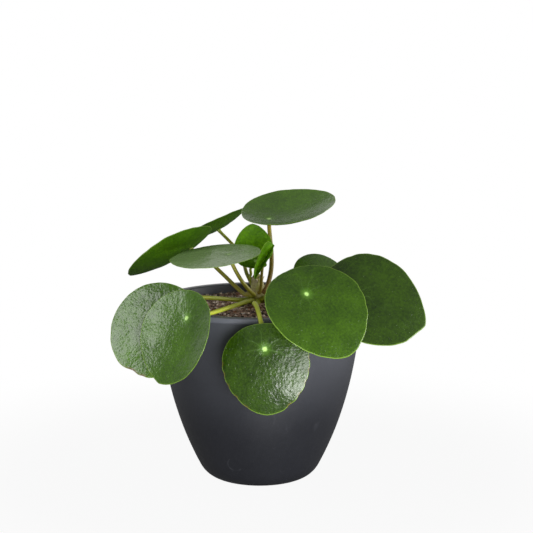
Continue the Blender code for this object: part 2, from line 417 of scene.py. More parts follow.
def mergedCopy(nodeName):
    bm = bmesh.new()
    bm.from_mesh(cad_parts[nodeName].data)
    bmesh.ops.remove_doubles(bm, verts=bm.verts, dist=mergeDistance)
    bm.normal_update()
    return bm


def readStalk(name):
    # centre line and radii of a tube, from the stem to the leaf
    bm = mergedCopy("stalk_" + name)
    flats = []
    for face in bm.faces:
        for normal, verts in flats:
            if normal.dot(face.normal) > readingSettings["sameWay"]:
                verts.update(face.verts)
                break
        else:
            flats.append((face.normal.copy(), set(face.verts)))
    caps = []
    for normal, verts in flats:
        middle = sum((vert.co for vert in verts), Vector()) / len(verts)
        reach = max((vert.co - middle).length for vert in verts)
        if len(verts) >= readingSettings["capPoints"] and reach < readingSettings["capReach"]:
            caps.append((middle, verts))
    first = min(caps, key=lambda cap: (cap[0] - stemAxis).length)[1]
    seen = set(first)
    ring = set(first)
    line = []
    while ring:
        middle = sum((vert.co for vert in ring), Vector()) / len(ring)
        line.append((middle, sum((vert.co - middle).length for vert in ring) / len(ring)))
        ring = {edge.other_vert(vert) for vert in ring for edge in vert.link_edges} - seen
        seen |= ring
    bm.free()
    return line


def curvedTerms(x, y):
    # the terms of a cubic surface
    return np.stack([np.ones_like(x), x, y, x * x, x * y, y * y, x**3, x * x * y, x * y * y, y**3], 1)


def readBlade(name, stalkEnd):
    # a frame at the stalk's point, the blade's outline about it and its height over the frame's plane
    bm = mergedCopy("leaf_" + name)
    weights = np.array([face.calc_area() for face in bm.faces])
    middles = np.array([face.calc_center_median() for face in bm.faces])
    points = np.array([vert.co for vert in bm.verts])
    bm.free()
    centre = (middles * weights[:, None]).sum(0) / weights.sum()
    up = np.linalg.svd(points - centre)[2][2]
    towards = centre - np.array(stalkEnd)
    tip = towards - up * towards.dot(up)
    tip /= np.linalg.norm(tip)
    side = np.cross(tip, up)
    local = (points - centre) @ np.stack([side, tip, up], 1)
    fit = np.linalg.lstsq(curvedTerms(local[:, 0], local[:, 1]), local[:, 2], rcond=None)[0]
    end = (np.array(stalkEnd) - centre) @ np.stack([side, tip, up], 1)
    over = curvedTerms(end[:1], end[1:2])[0] @ fit - end[2]
    if over < 0:  # the stalk comes from above, so the frame is turned over
        side, up = -side, -up
        local[:, [0, 2]] *= -1
        end[[0, 2]] *= -1
        fit = np.linalg.lstsq(curvedTerms(local[:, 0], local[:, 1]), local[:, 2], rcond=None)[0]
    # the outline, as a radius about the blade's middle, then about the stalk's point
    corners = geometry.convex_hull_2d([Vector(row) for row in local[:, :2]])
    rim = local[corners, :2]
    angles = np.arctan2(rim[:, 0], rim[:, 1])
    order = np.argsort(angles)
    fine = np.linspace(-math.pi, math.pi, readingSettings["outlineSteps"] + 1)[:-1]
    radii = np.interp(fine, angles[order], np.hypot(*rim[order].T), period=2 * math.pi)
    edge = np.stack([np.sin(fine) * radii - end[0], np.cos(fine) * radii - end[1]], 1)
    edgeAngles = np.arctan2(edge[:, 0], edge[:, 1])
    order = np.argsort(edgeAngles)
    return dict(
        centre=centre, side=side, tip=tip, up=up, end=end[:2], fit=fit,
        edgeAngles=edgeAngles[order], edgeRadii=np.hypot(*edge[order].T),
    )


stalkLines = {name: readStalk(name) for name in leafNames}
blades = {name: readBlade(name, stalkLines[name][-1][0]) for name in leafNames}
print("read from the frame:", len(blades), "blades and their stalks")


# leaves

# lengths in mm
bladeSettings = dict(
    spokes=168,
    rings=44,
    ringCrowding=1.25,  # above 1, the rings crowd towards the edge
    thickness=0.9,
    edgeThickness=0.34,
    thinning=8,  # the power with which it thins towards the edge
    edgeRound=0.4,  # how far the outermost ring stands out, as a part of edgeThickness
    ripples=(5, 8, 13, 21, 29),  # waves round the outline
    rippleSize=0.0034,
    creaseWidth=1.2,  # of a folded blade
    scorchFrom=0.965,
    scorchFade=0.03,
    apart=90.0,  # between the patterns of two leaves
)
reliefSettings = {
    "Dimple Depth": 0.55,
    "Dimple Width": 3.0,
    "Vein Count": 9.0,
    "Vein Depth": 0.10,
    "Vein Width": 0.75,
    "Swell": 1.1,
    "Swell Size": 16.0,
    "Pucker Depth": 0.16,
    "Pucker Size": 3.2,
    "Edge Wave": 0.5,
}
youngRelief = {"Dimple Depth": 0.6, "Swell": 0.5}  # the part of these that a young blade has

# seed: the leaf's own random start
# fresh: how young and bright it is
# wave: how wavy its edge is
# red: how red its stalk is, at the stem and at the blade
# nicks: hollows in the edge as an angle from the tip, a depth and a width in degrees; below 0 the edge stands out
# burnt: how brown the nicks are
# dot: strength of the pale dot over the stalk
# pale: share of a painted whitish sheen, which stands in for light reflected off the blade
# dome: how much the blade domes on top of its droop; below 0 it dishes
# fold: the folded side's part of its full width and the angle, for a blade still folded along its middle
leafDefaults = dict(nicks=(), burnt=0.0, dot=1.0, pale=0.0, dome=0.0)
leafLooks = dict(
    top=dict(seed=1, fresh=0.46, wave=0.7, red=(0.95, 0.45), pale=0.11),
    middle=dict(seed=2, fresh=0.50, wave=0.5, red=(0.50, 0.35), pale=0.68, dot=0.5),
    back_left=dict(seed=3, fresh=0.40, wave=1.0, red=(0.55, 0.25)),
    far=dict(seed=4, fresh=0.42, wave=0.8, red=(0.35, 0.0)),
    left=dict(seed=5, fresh=0.40, wave=0.8, red=(0.06, 0.0), nicks=((3, 2.2, 7), (-9, 0.8, 3)), burnt=1.0),
    front_left=dict(seed=6, fresh=0.36, wave=0.7, red=(0.08, 0.0), dome=-0.10),
    front=dict(
        seed=7, fresh=0.0, wave=1.0, red=(0.0, 0.0), dome=-0.085, burnt=0.7,
        nicks=(
            (72, 0.5, 3), (60, 0.6, 3), (47, 0.6, 3), (33, 0.6, 3), (20, 0.4, 3), (-22, 0.5, 3), (-36, 0.7, 3),
            (-50, 0.7, 3), (-64, 0.6, 3), (-78, 0.5, 3),
        ),
    ),
    front_right=dict(
        seed=8, fresh=0.14, wave=1.0, red=(0.3, 0.1), dome=0.02,
        nicks=(
            (-52, 0.5, 3), (-68, 0.4, 3), (-36, 0.5, 3), (-84, 0.4, 3), (-100, 0.4, 3), (-10, -0.7, 9),
        ),
    ),
    right=dict(
        seed=9, fresh=0.0, wave=0.9, red=(0.3, 0.1),
        nicks=((-2, -1.3, 7), (12, 0.9, 9), (-60, 0.5, 4), (-80, 0.5, 4), (-102, 0.4, 4)),
    ),
    rear_right=dict(seed=10, fresh=0.50, wave=0.4, red=(0.3, 0.1), pale=0.12),
    young=dict(seed=11, fresh=0.95, wave=0.4, red=(0.1, 0.0), dot=0.6, nicks=((92, 6.5, 30),)),
    folded=dict(
        seed=12, fresh=0.95, wave=0.3, red=(0.75, 0.6), dot=0.0, nicks=((105, -3.2, 32), (8, -0.6, 12)),
        fold=(0.34, 148.0),
    ),
)
leafLooks = {name: {**leafDefaults, **look} for name, look in leafLooks.items()}

veinSettings = dict(
    wander=1.1,
    wanderScale=0.07,
    fade=(3.0, 34.0, 1.0, 0.25),  # from and to this far from the dot, and the strengths there
    faintest=0.15,
    netWarp=6.0,
    netWarpScale=0.12,
    netScale=0.13,
    netWidth=0.13,  # as a part of the main veins' width
)


def veinMask(tree, leafPlace, count, width):
    # veins that run out from the dot, a fine net between them, and the distance from the dot in mm
    settings = veinSettings
    x, y, z = split(tree, leafPlace)
    radius = calc(tree, "SQRT", plus(tree, times(tree, x, x), times(tree, y, y)))
    wander = minus(tree, cloud(tree, leafPlace, settings["wanderScale"], 1.0), 0.5)
    angle = calc(tree, "MULTIPLY_ADD", wander, settings["wander"], calc(tree, "ARCTAN2", x, y))
    phase = calc(tree, "MULTIPLY_ADD", times(tree, angle, count), 0.5 / math.pi, 0.5)
    off = calc(tree, "ABSOLUTE", minus(tree, calc(tree, "FRACT", phase), 0.5))
    turn = calc(tree, "DIVIDE", times(tree, off, 2 * math.pi), count)
    main = minus(tree, 1.0, ramp(tree, times(tree, turn, radius), 0.0, width))
    main = times(tree, main, ramp(tree, radius, *settings["fade"]))
    ray = joined(tree, calc(tree, "ROUND", phase), z)
    draw = add(tree, "ShaderNodeTexWhiteNoise", {0: ray}).outputs[0]
    main = times(tree, main, ramp(tree, draw, 0.3, 1.0, settings["faintest"], 1.0))
    warp = add(tree, "ShaderNodeTexNoise", {"Vector": leafPlace, "Scale": settings["netWarpScale"]})
    warped = vectorCalc(tree, "ADD", leafPlace, scaled(tree, warp.outputs["Color"], settings["netWarp"]))
    net = add(
        tree, "ShaderNodeTexVoronoi", {"Vector": warped, "Scale": settings["netScale"]},
        feature="DISTANCE_TO_EDGE",
    ).outputs["Distance"]
    fine = minus(tree, 1.0, ramp(tree, net, 0.0, times(tree, width, settings["netWidth"])))
    return main, fine, radius


def makeLeafRelief():
    tree, start, close = newShapeTree(
        "leafRelief", [(label, "Float", value) for label, value in reliefSettings.items()]
    )
    leafPlace = stored(tree, "leafPlace", "FLOAT_VECTOR")
    main, fine, radius = veinMask(tree, leafPlace, start["Vein Count"], start["Vein Width"])
    groove = times(tree, calc(tree, "MAXIMUM", main, times(tree, fine, 0.5)), start["Vein Depth"])
    near = calc(tree, "DIVIDE", radius, start["Dimple Width"])
    dimple = calc(tree, "POWER", 2.718, times(tree, times(tree, near, near), -1.0))
    dimple = times(tree, dimple, start["Dimple Depth"])
    swellScale = calc(tree, "DIVIDE", 1.0, start["Swell Size"])
    swell = times(tree, minus(tree, cloud(tree, leafPlace, swellScale, 1.0), 0.5), start["Swell"])
    cells = softCells(tree, leafPlace, start["Pucker Size"], 0.6)
    pucker = times(tree, minus(tree, 0.5, cells), start["Pucker Depth"])
    pucker = times(tree, pucker, ramp(tree, radius, 2.0, 9.0))
    around = vectorCalc(tree, "ADD", vectorCalc(tree, "NORMALIZE", leafPlace), leafPlace)
    wave = minus(tree, cloud(tree, around, 0.09, 1.0), 0.5)
    wave = times(tree, wave, calc(tree, "POWER", stored(tree, "rimShare"), 5.0))
    wave = times(tree, wave, start["Edge Wave"])
    height = minus(tree, plus(tree, swell, plus(tree, pucker, wave)), dimple)
    height = times(tree, minus(tree, height, groove), mm)
    offset = scaled(tree, stored(tree, "leafUp", "FLOAT_VECTOR"), height)
    moved = add(tree, "GeometryNodeSetPosition", {0: start["Geometry"], "Offset": offset}).outputs[0]
    below = add(
        tree, "FunctionNodeCompare", {0: stored(tree, "upperSide"), 1: 0.2},
        operation="LESS_THAN", data_type="FLOAT",
    ).outputs[0]
    close(moved, below)
    return tree


skinSettings = dict(
    dotRagged=1.2,
    dotRaggedScale=0.7,
    dotFade=2.2,  # the dot ends at its size times this
    edge=(0.982, 0.996),  # where the pale edge starts and is full
    wrinkleSpokes=8.5,
    wrinkleStep=0.20,
    wrinkleDepth=0.75,
    pebbleDepth=-0.7,
    grainDepth=0.8,
    pits=(0.42, 0.30, 0.45),  # scale, size and share
    pitDepth=-0.8,
)


def makeLeafSkin(settings):
    # masks and a height that every leaf finish uses; lengths in mm
    group, start, end = newGroup(
        "leafSkin", "ShaderNodeTree",
        [("Place", "Vector", None), ("Rim Share", "Float", 0.5), ("Dot Size", "Float", 1.4),
         ("Vein Count", "Float", 9.0), ("Vein Width", "Float", 0.8), ("Pebble Size", "Float", 2.1)],
        [("Veins", "Float"), ("Dot", "Float"), ("Edge", "Float"), ("Height", "Float"), ("Radius", "Float")],
    )
    spot = start["Place"]
    veins, _, radius = veinMask(group, spot, start["Vein Count"], start["Vein Width"])
    ragged = cloud(group, spot, settings["dotRaggedScale"])
    ragged = calc(group, "MULTIPLY_ADD", ragged, settings["dotRagged"], radius)
    dotEnd = times(group, start["Dot Size"], settings["dotFade"])
    dot = minus(group, 1.0, ramp(group, ragged, start["Dot Size"], dotEnd))
    edge = ramp(group, start["Rim Share"], *settings["edge"])
    around = vectorCalc(group, "NORMALIZE", vectorCalc(group, "MULTIPLY", spot, (1.0, 1.0, 0.0)))
    outward = joined(group, z=times(group, radius, settings["wrinkleStep"]))
    wrinklePlace = vectorCalc(group, "ADD", scaled(group, around, settings["wrinkleSpokes"]), outward)
    wrinkles = cloud(group, wrinklePlace, 1.0, 2.0, 0.6)
    pebbles = times(group, softCells(group, spot, start["Pebble Size"], 0.5), settings["pebbleDepth"])
    height = calc(group, "MULTIPLY_ADD", cloud(group, spot, 0.6), settings["grainDepth"], pebbles)
    height = calc(group, "MULTIPLY_ADD", wrinkles, settings["wrinkleDepth"], height)
    pits = flecked(group, spot, *settings["pits"])
    height = calc(group, "MULTIPLY_ADD", pits, settings["pitDepth"], height)
    for label, value in (("Veins", veins), ("Dot", dot), ("Edge", edge), ("Height", height), ("Radius", radius)):
        group.links.new(value, end[label])
    return group


leafColours = dict(
    oldDark=(0.014, 0.036, 0.002),
    oldLight=(0.034, 0.080, 0.002),
    freshDark=(0.060, 0.170, 0.001),
    freshLight=(0.130, 0.330, 0.002),
    underDark=(0.040, 0.120, 0.001),
    underLight=(0.070, 0.180, 0.002),
    vein=(0.13, 0.25, 0.06),
    dot=(0.58, 0.90, 0.26),
    halo=(0.13, 0.30, 0.03),
    edge=(0.20, 0.34, 0.04),
    scorch=(0.13, 0.055, 0.020),
    # a whitish colour painted on as sheen, standing in for reflected light
    dust=(0.30, 0.38, 0.24),
    paintedSheen=(0.30, 0.43, 0.19),
)
leafShares = dict(
    veins=(0.42, 0.30),  # near the dot and further out
    dust=0.55,
    halo=0.5,
    edge=0.75,
    underVeins=0.4,
    underDot=0.6,
)
leafFinishes = dict(
    leafGreen=dict(specular=0.52, gloss=(0.20, 0.32)),
    youngLeafGreen=dict(specular=0.12, gloss=(0.40, 0.50)),
    leafUnderside=dict(specular=0.16, gloss=(0.55, 0.70), below=True),
)


def makeLeafFinish(name, skin, specular, gloss, below=False):
    finish, tree, shader = newFinish(name, Specular_IOR_Level=specular)
    colours, shares = leafColours, leafShares
    leafPlace = readAttribute(tree, "leafPlace", "Vector")
    dotStrength = readAttribute(tree, "dotStrength")
    parts = add(
        tree, "ShaderNodeGroup", {"Place": leafPlace, "Rim Share": readAttribute(tree, "rimShare")},
        node_tree=skin,
    ).outputs
    veins, dot, radius = parts["Veins"], parts["Dot"], parts["Radius"]
    patches = mottled(tree, leafPlace, 0.06, 0.55, 0.55, 3.6)
    if below:
        colour = blendColours(tree, patches, colours["underDark"], colours["underLight"])
        colour = blendColours(tree, times(tree, veins, shares["underVeins"]), colour, colours["vein"])
        colour = blendColours(tree, times(tree, dot, shares["underDot"]), colour, colours["dot"])
    else:
        old = blendColours(tree, patches, colours["oldDark"], colours["oldLight"])
        young = blendColours(tree, patches, colours["freshDark"], colours["freshLight"])
        colour = blendColours(tree, readAttribute(tree, "freshness"), old, young)
        veinShare = times(tree, veins, ramp(tree, radius, 3.0, 20.0, *shares["veins"]))
        colour = blendColours(tree, veinShare, colour, colours["vein"])
        # painted sheen: a whitish colour mixed in per leaf in place of reflected light
        colour = blendColours(tree, readAttribute(tree, "paintedSheen"), colour, colours["paintedSheen"])
        specks = times(tree, flecked(tree, leafPlace, 0.35, 0.12, 0.3), shares["dust"])
        colour = blendColours(tree, specks, colour, colours["dust"])
        halo = times(tree, ramp(tree, radius, 1.5, 7.0, shares["halo"], 0.0), dotStrength)
        colour = blendColours(tree, halo, colour, colours["halo"])
        colour = blendColours(tree, times(tree, dot, dotStrength), colour, colours["dot"])
    colour = blendColours(tree, times(tree, parts["Edge"], shares["edge"]), colour, colours["edge"])
    paint(tree, shader, blendColours(tree, readAttribute(tree, "scorch"), colour, colours["scorch"]))
    polish(tree, shader, mottled(tree, leafPlace, 0.12, 0.9, 0.4, 1.4), *gloss)
    bump(tree, shader, parts["Height"], 0.0002)
    return finish


def bladeOutline(angles, blade, look, settings):
    # the outline's distance from the stalk's point, and how scorched it is, at each angle from the tip
    outline = np.interp(angles, blade["edgeAngles"], blade["edgeRadii"], period=2 * math.pi)
    draws = random.Random(look["seed"])
    ripple = np.zeros(len(angles))
    for count in settings["ripples"]:
        phase = draws.uniform(0, 2 * math.pi)
        ripple += math.sqrt(5 / count) * np.sin(count * angles + phase) * settings["rippleSize"]
    scorch = np.zeros(len(angles))
    for angle, depth, width in look["nicks"]:
        away = (np.degrees(angles) - angle + 180) % 360 - 180
        hollow = np.exp(-((away / width) ** 2))
        outline = outline - depth * mm * hollow
        scorch = np.maximum(scorch, hollow * look["burnt"])
    return outline * (1 + ripple * look["wave"]), scorch


def onBlade(points, blade, look, reach):
    # places and normals on the blade's middle surface, for points on its flat frame
    x, y = points[:, 0], points[:, 1]
    end, dome = blade["end"], look["dome"]
    step = 0.05 * mm
    still = curvedTerms(x, y) @ blade["fit"]
    height = still - dome * (x * x + y * y - end @ end) / reach
    slopeX = (curvedTerms(x + step, y) @ blade["fit"] - still) / step - 2 * dome * x / reach
    slopeY = (curvedTerms(x, y + step) @ blade["fit"] - still) / step - 2 * dome * y / reach
    normal = np.stack([-slopeX, -slopeY, np.ones_like(x)], 1)
    normal /= np.linalg.norm(normal, axis=1)[:, None]
    if "fold" in look:
        narrow, angle = look["fold"]
        across = np.minimum(x - end[0], 0.0)
        turn = np.radians(angle) * np.clip(-across / (bladeSettings["creaseWidth"] * mm), 0, 1)
        cosine, sine = np.cos(turn), np.sin(turn)
        shift = np.where(across < 0, across * (narrow * cosine - 1), 0.0)
        points = np.column_stack([x + shift, y])
        height = height - across * narrow * sine
        normal = np.stack([
            normal[:, 0] * cosine + normal[:, 2] * sine, normal[:, 1], normal[:, 2] * cosine - normal[:, 0] * sine,
        ], 1)
    axes = np.stack([blade["side"], blade["tip"], blade["up"]])
    return blade["centre"] + np.column_stack([points, height]) @ axes, normal @ axes


def bladeMesh(name, blade, look, settings):
    # a closed thin shell about the stalk's point, with the leaf's own coordinates kept on its points
    spokes, rings, edgeThickness = settings["spokes"], settings["rings"], settings["edgeThickness"]
    angles = np.arange(spokes) / spokes * 2 * math.pi - math.pi
    outline, scorchRound = bladeOutline(angles, blade, look, settings)
    reach = outline.mean()
    shares = 1 - (1 - np.arange(1, rings + 1) / rings) ** settings["ringCrowding"]
    across = np.outer(shares, outline * np.sin(angles)) + blade["end"][0]
    along = np.outer(shares, outline * np.cos(angles)) + blade["end"][1]
    sheet = np.concatenate([[blade["end"]], np.stack([across.ravel(), along.ravel()], 1)])
    share = np.concatenate([[0.0], np.repeat(shares, spokes)])

    middle, up = onBlade(sheet, blade, look, reach)
    thinned = (settings["thickness"] - edgeThickness) * share ** settings["thinning"]
    half = (settings["thickness"] - thinned)[:, None] * mm / 2
    outer = sheet[1 + (rings - 1) * spokes:]
    outward = outer - blade["end"]
    outward /= np.linalg.norm(outward, axis=1)[:, None]
    brim, brimUp = onBlade(outer + outward * edgeThickness * settings["edgeRound"] * mm, blade, look, reach)
    points = np.concatenate([middle + up * half, brim, middle - up * half])
    layer = len(sheet)
    bottom = layer + spokes
    bm = bmesh.new()
    verts = [bm.verts.new(point) for point in points]

    def ringVert(base, ring, spoke):
        return verts[base + 1 + (ring - 1) * spokes + spoke % spokes]

    for spoke in range(spokes):
        bm.faces.new((verts[0], ringVert(0, 1, spoke + 1), ringVert(0, 1, spoke)))
        bm.faces.new((verts[bottom], ringVert(bottom, 1, spoke), ringVert(bottom, 1, spoke + 1)))
        for ring in range(1, rings):
            a, b = ringVert(0, ring, spoke), ringVert(0, ring, spoke + 1)
            c, d = ringVert(0, ring + 1, spoke + 1), ringVert(0, ring + 1, spoke)
            bm.faces.new((a, b, c, d))
            a, b = ringVert(bottom, ring, spoke), ringVert(bottom, ring, spoke + 1)
            c, d = ringVert(bottom, ring + 1, spoke + 1), ringVert(bottom, ring + 1, spoke)
            bm.faces.new((d, c, b, a))
        a, b = ringVert(0, rings, spoke), ringVert(0, rings, spoke + 1)
        c, d = verts[layer + (spoke + 1) % spokes], verts[layer + spoke]
        bm.faces.new((a, b, c, d))
        a, b = ringVert(bottom, rings, spoke), ringVert(bottom, rings, spoke + 1)
        bm.faces.new((d, c, b, a))
    mesh = meshFrom(name, bm)

    leafPlace = np.column_stack([(sheet - blade["end"]) / mm, np.full(layer, look["seed"] * settings["apart"])])
    storeVectors(mesh, "leafPlace", np.concatenate([leafPlace, leafPlace[-spokes:], leafPlace]))
    storeVectors(mesh, "leafUp", np.concatenate([up, brimUp, up]))
    storeFloats(mesh, "rimShare", np.concatenate([share, np.ones(spokes), share]))
    storeFloats(mesh, "upperSide", np.concatenate([np.ones(layer), np.full(spokes, 0.5), np.zeros(layer)]))
    for label, key in (("freshness", "fresh"), ("dotStrength", "dot"), ("paintedSheen", "pale")):
        storeFloats(mesh, label, np.full(len(points), look[key]))
    nearEdge = np.clip((share - settings["scorchFrom"]) / settings["scorchFade"], 0, 1)
    scorch = nearEdge * np.concatenate([[0.0], np.tile(scorchRound, rings)])
    storeFloats(mesh, "scorch", np.concatenate([scorch, scorchRound, scorch]))
    return mesh


def makeLeaves():
    relief = makeLeafRelief()
    skin = makeLeafSkin(skinSettings)
    finishes = {name: makeLeafFinish(name, skin, **look) for name, look in leafFinishes.items()}
    for name in leafNames:
        look = leafLooks[name]
        young = name in ("young", "folded")
        values = dict(reliefSettings)
        values["Edge Wave"] *= look["wave"]
        for label, part in youngRelief.items():
            values[label] *= part if young else 1.0
        values["Finish"] = finishes["youngLeafGreen" if young else "leafGreen"]
        values["Second Finish"] = finishes["youngLeafGreen" if young else "leafUnderside"]
        mesh = bladeMesh("blade_" + name, blades[name], look, bladeSettings)
        piece = grow(newPiece("blade_" + name, mesh), relief, values)
        settle(piece, "young_leaf" if young else "leaf", "leaf_" + name)


makeLeaves()
print("leaves grown")


# stalks

# lengths in mm
stalkSettings = dict(
    sides=14,
    rings=64,
    baseSwell=0.45,  # part of the radius added where it leaves the stem
    tipFlare=0.35,
    unevenness=0.10,
    roughness=0.16,
    rootDepth=3.2,  # how far it runs into the stem
    rootWay=(0.8, -0.45),  # inward and up, as parts of that depth
    fullness=1.10,
    tipReach=7.0,  # this near the blade, it is kept under the dimple
    tipGap=0.1,
)
stalkColours = dict(
    green=(0.54, 0.58, 0.050),
    greenDark=(0.32, 0.39, 0.025),
    red=(0.30, 0.145, 0.026),
    redDark=(0.17, 0.080, 0.018),
    pale=(0.45, 0.58, 0.12),
)


def makeStalkSweep():
    tree, start, close = newShapeTree(
        "stalkSweep",
        [("Sides", "Int", 12), ("Rings", "Int", 60), ("Base Swell", "Float", 0.4), ("Tip Flare", "Float", 0.3),
         ("Unevenness", "Float", 0.1), ("Roughening", "Float", 0.1), ("Seed", "Float", 0.0)],
    )
    line = add(tree, "GeometryNodeResampleCurve", {0: start["Geometry"], "Count": start["Rings"]}).outputs[0]
    along = add(tree, "GeometryNodeSplineParameter").outputs["Factor"]
    line = add(tree, "GeometryNodeStoreNamedAttribute", {0: line, "Name": "alongStalk", "Value": along}).outputs[0]
    low = times(tree, ramp(tree, along, 0.0, 0.11, 1.0, 0.0), start["Base Swell"])
    high = times(tree, ramp(tree, along, 0.95, 1.0), start["Tip Flare"])
    where = joined(tree, times(tree, along, 9.0), start["Seed"])
    uneven = times(tree, minus(tree, cloud(tree, where, 1.0), 0.5), start["Unevenness"])
    total = plus(tree, plus(tree, 1.0, low), plus(tree, high, uneven))
    radius = times(tree, add(tree, "GeometryNodeInputRadius").outputs[0], total)
    ring = add(tree, "GeometryNodeCurvePrimitiveCircle", {"Resolution": start["Sides"], "Radius": mm}).outputs[0]
    tube = add(tree, "GeometryNodeCurveToMesh", {0: line, 1: ring, "Scale": radius, "Fill Caps": True}).outputs[0]
    spot = add(tree, "GeometryNodeInputPosition").outputs[0]
    normal = add(tree, "GeometryNodeInputNormal").outputs[0]
    rough = times(tree, minus(tree, cloud(tree, spot, 700.0), 0.5), times(tree, start["Roughening"], mm))
    tube = add(tree, "GeometryNodeSetPosition", {0: tube, "Offset": scaled(tree, normal, rough)}).outputs[0]
    close(tube)
    return tree


def makeStalkFinish(colours):
    finish, tree, shader = newFinish("stalkSkin", Specular_IOR_Level=0.5, Coat_Weight=0.1, Coat_Roughness=0.4)
    spot = place(tree)
    streaks = mottled(tree, spot, 160.0, 900.0, 0.4, 2.0)
    green = blendColours(tree, streaks, colours["greenDark"], colours["green"])
    brown = blendColours(tree, streaks, colours["redDark"], colours["red"])
    redness = readAttribute(tree, "redness")
    share = calc(tree, "MULTIPLY_ADD", minus(tree, streaks, 0.5), 0.3, redness, clamp=True)
    colour = blendColours(tree, share, green, brown)
    joint = ramp(tree, readAttribute(tree, "alongStalk"), 0.955, 0.99)
    paint(tree, shader, blendColours(tree, joint, colour, colours["pale"]))
    polish(tree, shader, streaks, 0.38, 0.52)
    bump(tree, shader, cloud(tree, spot, 1400.0, 3.0), 0.0001, 0.6)
    return finish


def stalkCurve(name, line, point, settings):
    # from inside the stem, along the stalk's centre line, to its point on the blade
    first = line[0][0]
    inward = Vector((stemAxis.x - first.x, stemAxis.y - first.y, 0.0)).normalized()
    share, rise = settings["rootWay"]
    root = first + (inward * share + Vector((0, 0, rise))) * settings["rootDepth"] * mm
    route = [(root, line[0][1]), *line, (point, line[-1][1])]
    data = bpy.data.curves.new(name, "CURVE")
    data.dimensions = "3D"
    spline = data.splines.new("NURBS")
    spline.points.add(len(route) - 1)
    for control, (spot, radius) in zip(spline.points, route):
        control.co = (*spot, 1.0)
        control.radius = radius / mm * settings["fullness"]
    spline.order_u = 3
    spline.use_endpoint_u = True
    spline.resolution_u = 8
    return data


def makeStalks(settings):
    sweep = makeStalkSweep()
    finish = makeStalkFinish(stalkColours)
    for name in leafNames:
        look, blade = leafLooks[name], blades[name]
        end, up = blade["end"], blade["up"]
        height = (curvedTerms(end[:1], end[1:2]) @ blade["fit"])[0]
        point = blade["centre"] + np.array([*end, height]) @ np.stack([blade["side"], blade["tip"], up])
        curve = stalkCurve("petiole_" + name, stalkLines[name], Vector(point), settings)
        piece = grow(newPiece("petiole_" + name, curve), sweep, {
            "Sides": settings["sides"],
            "Rings": settings["rings"],
            "Base Swell": settings["baseSwell"],
            "Tip Flare": settings["tipFlare"],
            "Unevenness": settings["unevenness"],
            "Roughening": settings["roughness"],
            "Seed": look["seed"] * 7.0,
            "Finish": finish,
        })
        mesh = piece.data
        spots = np.zeros(len(mesh.vertices) * 3)
        mesh.vertices.foreach_get("co", spots)
        spots = spots.reshape(-1, 3)
        over = (spots - point) @ up + (reliefSettings["Dimple Depth"] + settings["tipGap"]) * mm
        near = np.linalg.norm(spots - point, axis=1) < settings["tipReach"] * mm
        excess = np.where(near, np.maximum(over, 0.0), 0.0)
        mesh.vertices.foreach_set("co", (spots - excess[:, None] * up).ravel())
        along = np.zeros(len(mesh.vertices), np.float32)
        mesh.attributes["alongStalk"].data.foreach_get("value", along)
        low, high = look["red"]
        storeFloats(mesh, "redness", low + (high - low) * along)
        mesh.update()
        settle(piece, "stalk", "stalk_" + name)


makeStalks(stalkSettings)
print("stalks grown")


# round shapes

def turnedShape(outline, sides):
    # an outline of distances from the axis and heights, turned about the axis; its points are always made in the
    # same order, because the random scatter on the soil depends on it
    bm = bmesh.new()
    turns = [2 * math.pi * side / sides for side in range(sides)]
    rings = []
    for across, high in outline:
        if across > 0:
            ring = [bm.verts.new((across * math.cos(turn), across * math.sin(turn), high)) for turn in turns]
        else:
            ring = [bm.verts.new((0.0, 0.0, high))] * sides
        rings.append(ring)
    for first, second in zip(rings, rings[1:]):
        for side in range(sides):
            corners = (first[side - 1], first[side], second[side], second[side - 1])
            bm.faces.new(list(dict.fromkeys(corners)))  # at a pole, two corners are one point
    return bm


# stem and its papery scales

# lengths in mm, heights over the stem's foot
stemSettings = dict(
    sides=56,
    # radius and height, from the top down
    outline=(
        (0.0, 23.6), (1.9, 23.4), (3.3, 22.4), (4.3, 20.6), (4.7, 18.8), (4.3, 16.6), (4.6, 14.6), (5.2, 13.0),
        (4.6, 11.0), (4.4, 9.0), (5.1, 7.2), (5.4, 5.6), (4.9, 3.6), (5.3, 1.8), (6.6, 0.0), (7.4, -2.0), (0.0, -2.5),
    ),
    radius=5.0,  # where scars and buds are set
    knobs=0.75,
    # compass angle and height
    scars=((-150, 15.5), (-60, 12.5), (20, 17.0), (95, 14.0), (170, 8.5), (-100, 6.5), (-20, 6.0)),
    scarSize=2.2,
    # compass angle, height and how far it stands out
    buds=((-35, 8.5, 3.0), (-105, 5.0, 1.8), (-8, 13.0, 1.6), (-80, 13.5, 1.2)),
    budSize=2.8,
)
stemColours = dict(
    dark=(0.36, 0.31, 0.09),
    light=(0.86, 0.77, 0.45),
    olive=(0.62, 0.61, 0.14),
    foot=(0.085, 0.030, 0.014),
)
scaleSettings = dict(
    # compass angle, height, length, width and lean away from the stem in degrees
    scales=(
        (-100, 15.5, 5.2, 3.0, 12), (-10, 16.5, 5.6, 3.2, 16), (60, 16.0, 5.0, 3.0, 10), (-55, 18.5, 4.6, 2.4, 8),
        (-140, 17.5, 4.4, 2.6, 14), (150, 16.0, 4.8, 2.8, 12), (-75, 9.5, 4.4, 2.8, 30), (15, 9.0, 4.6, 3.0, 34),
        (-125, 8.5, 4.0, 2.6, 38),
    ),
    steps=10,
    columns=6,
    radius=4.0,  # where they are set
    thickness=0.18,
    dark=(0.50, 0.39, 0.22),
    light=(0.93, 0.86, 0.68),
)


